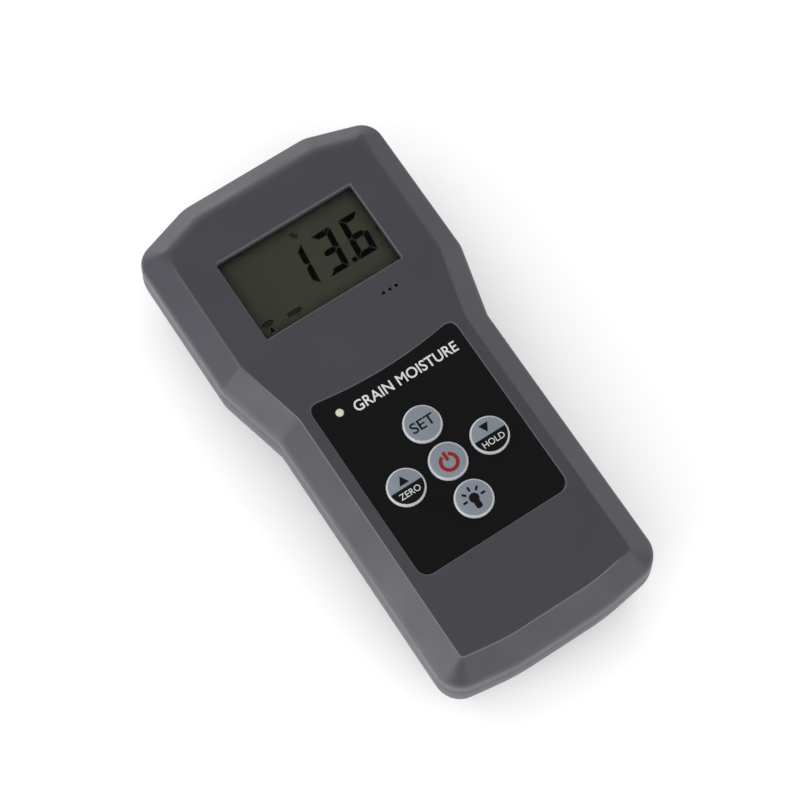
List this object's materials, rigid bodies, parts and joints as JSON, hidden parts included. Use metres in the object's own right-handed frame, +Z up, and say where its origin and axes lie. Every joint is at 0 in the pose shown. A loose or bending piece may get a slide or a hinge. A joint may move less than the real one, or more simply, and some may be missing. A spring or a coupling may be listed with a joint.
{
  "type": "grain moisture meter",
  "caption": "Hand-held moisture meter: waisted two-part case with a wider head, LCD window, five round keys on a dark label, contact electrodes at the back and a sliding battery door.",
  "frame": {"origin": "under the middle of the case, on the surface that the meter lies on", "axes": "+Y along the case from the tail of the grip to the display head, +Z up out of the face, +X to the right of a person reading the display"},
  "size_m": [0.077, 0.1556, 0.0347],
  "materials": {
    "casing": "fine moulded texture",
    "label": "printed polyester film",
    "key_cap": "satin",
    "clear_lens": "polished",
    "lcd_glass": "polished",
    "white_plastic": "moulded",
    "black_plastic": "moulded",
    "connector_rubber": "matte",
    "circuit_board": "solder mask",
    "chip_epoxy": "matte",
    "steel": "plated",
    "electrode_steel": "brushed",
    "battery_sleeve": "printed sleeve",
    "red_insulation": "satin",
    "black_insulation": "satin"
  },
  "bodies": {
    "meter_case": {"front_shell": "casing", "back_shell": "casing", "overlay_label": "label", "case_screw_1": "steel", "case_screw_2": "steel", "case_screw_3": "steel", "case_screw_4": "steel", "lcd_lens": "clear_lens", "lcd_glass": "lcd_glass", "lcd_frame": "black_plastic", "lcd_backlight": "white_plastic", "lcd_connector_head": "connector_rubber", "lcd_connector_tail": "connector_rubber", "switch_body_function": "black_plastic", "switch_body_power": "black_plastic", "switch_body_light": "black_plastic", "switch_body_zero": "black_plastic", "switch_body_hold": "black_plastic", "main_board": "circuit_board", "microcontroller": "chip_epoxy", "buzzer": "black_plastic", "indicator_led": "clear_lens", "board_screw_1": "steel", "board_screw_2": "steel", "board_screw_3": "steel", "board_screw_4": "steel", "battery_1": "battery_sleeve", "battery_spring_1": "steel", "battery_plate_1": "steel", "battery_2": "battery_sleeve", "battery_spring_2": "steel", "battery_plate_2": "steel", "battery_3": "battery_sleeve", "battery_spring_3": "steel", "battery_plate_3": "steel", "battery_4": "battery_sleeve", "battery_spring_4": "steel", "battery_plate_4": "steel", "battery_lead_positive": "red_insulation", "battery_lead_negative": "black_insulation", "sensor_carrier": "black_plastic", "sensor_electrode_left": "electrode_steel", "sensor_electrode_right": "electrode_steel", "sensor_board": "circuit_board", "sensor_lead": "black_insulation", "sensor_socket": "white_plastic"},
    "function_key": {"key_function": "key_cap", "switch_plunger_function": "black_plastic"},
    "power_key": {"key_power": "key_cap", "switch_plunger_power": "black_plastic"},
    "light_key": {"key_light": "key_cap", "switch_plunger_light": "black_plastic"},
    "zero_key": {"key_zero": "key_cap", "switch_plunger_zero": "black_plastic"},
    "hold_key": {"key_hold": "key_cap", "switch_plunger_hold": "black_plastic"},
    "battery_cover": {"battery_door": "casing"}
  },
  "joints": [
    {"name": "function_key_press", "type": "slide", "parent": "meter_case", "child": "function_key", "axis": [0, 0, -1], "range_m": [0, 0.0006], "stiffness_N_per_m": 1000, "springref_m": -0.0005},
    {"name": "power_key_press", "type": "slide", "parent": "meter_case", "child": "power_key", "axis": [0, 0, -1], "range_m": [0, 0.0006], "stiffness_N_per_m": 1000, "springref_m": -0.0005},
    {"name": "light_key_press", "type": "slide", "parent": "meter_case", "child": "light_key", "axis": [0, 0, -1], "range_m": [0, 0.0006], "stiffness_N_per_m": 1000, "springref_m": -0.0005},
    {"name": "zero_key_press", "type": "slide", "parent": "meter_case", "child": "zero_key", "axis": [0, 0, -1], "range_m": [0, 0.0006], "stiffness_N_per_m": 1000, "springref_m": -0.0005},
    {"name": "hold_key_press", "type": "slide", "parent": "meter_case", "child": "hold_key", "axis": [0, 0, -1], "range_m": [0, 0.0006], "stiffness_N_per_m": 1000, "springref_m": -0.0005},
    {"name": "battery_door_slide", "type": "slide", "parent": "meter_case", "child": "battery_cover", "axis": [0, -1, 0], "range_m": [0, 0.06]}
  ]
}
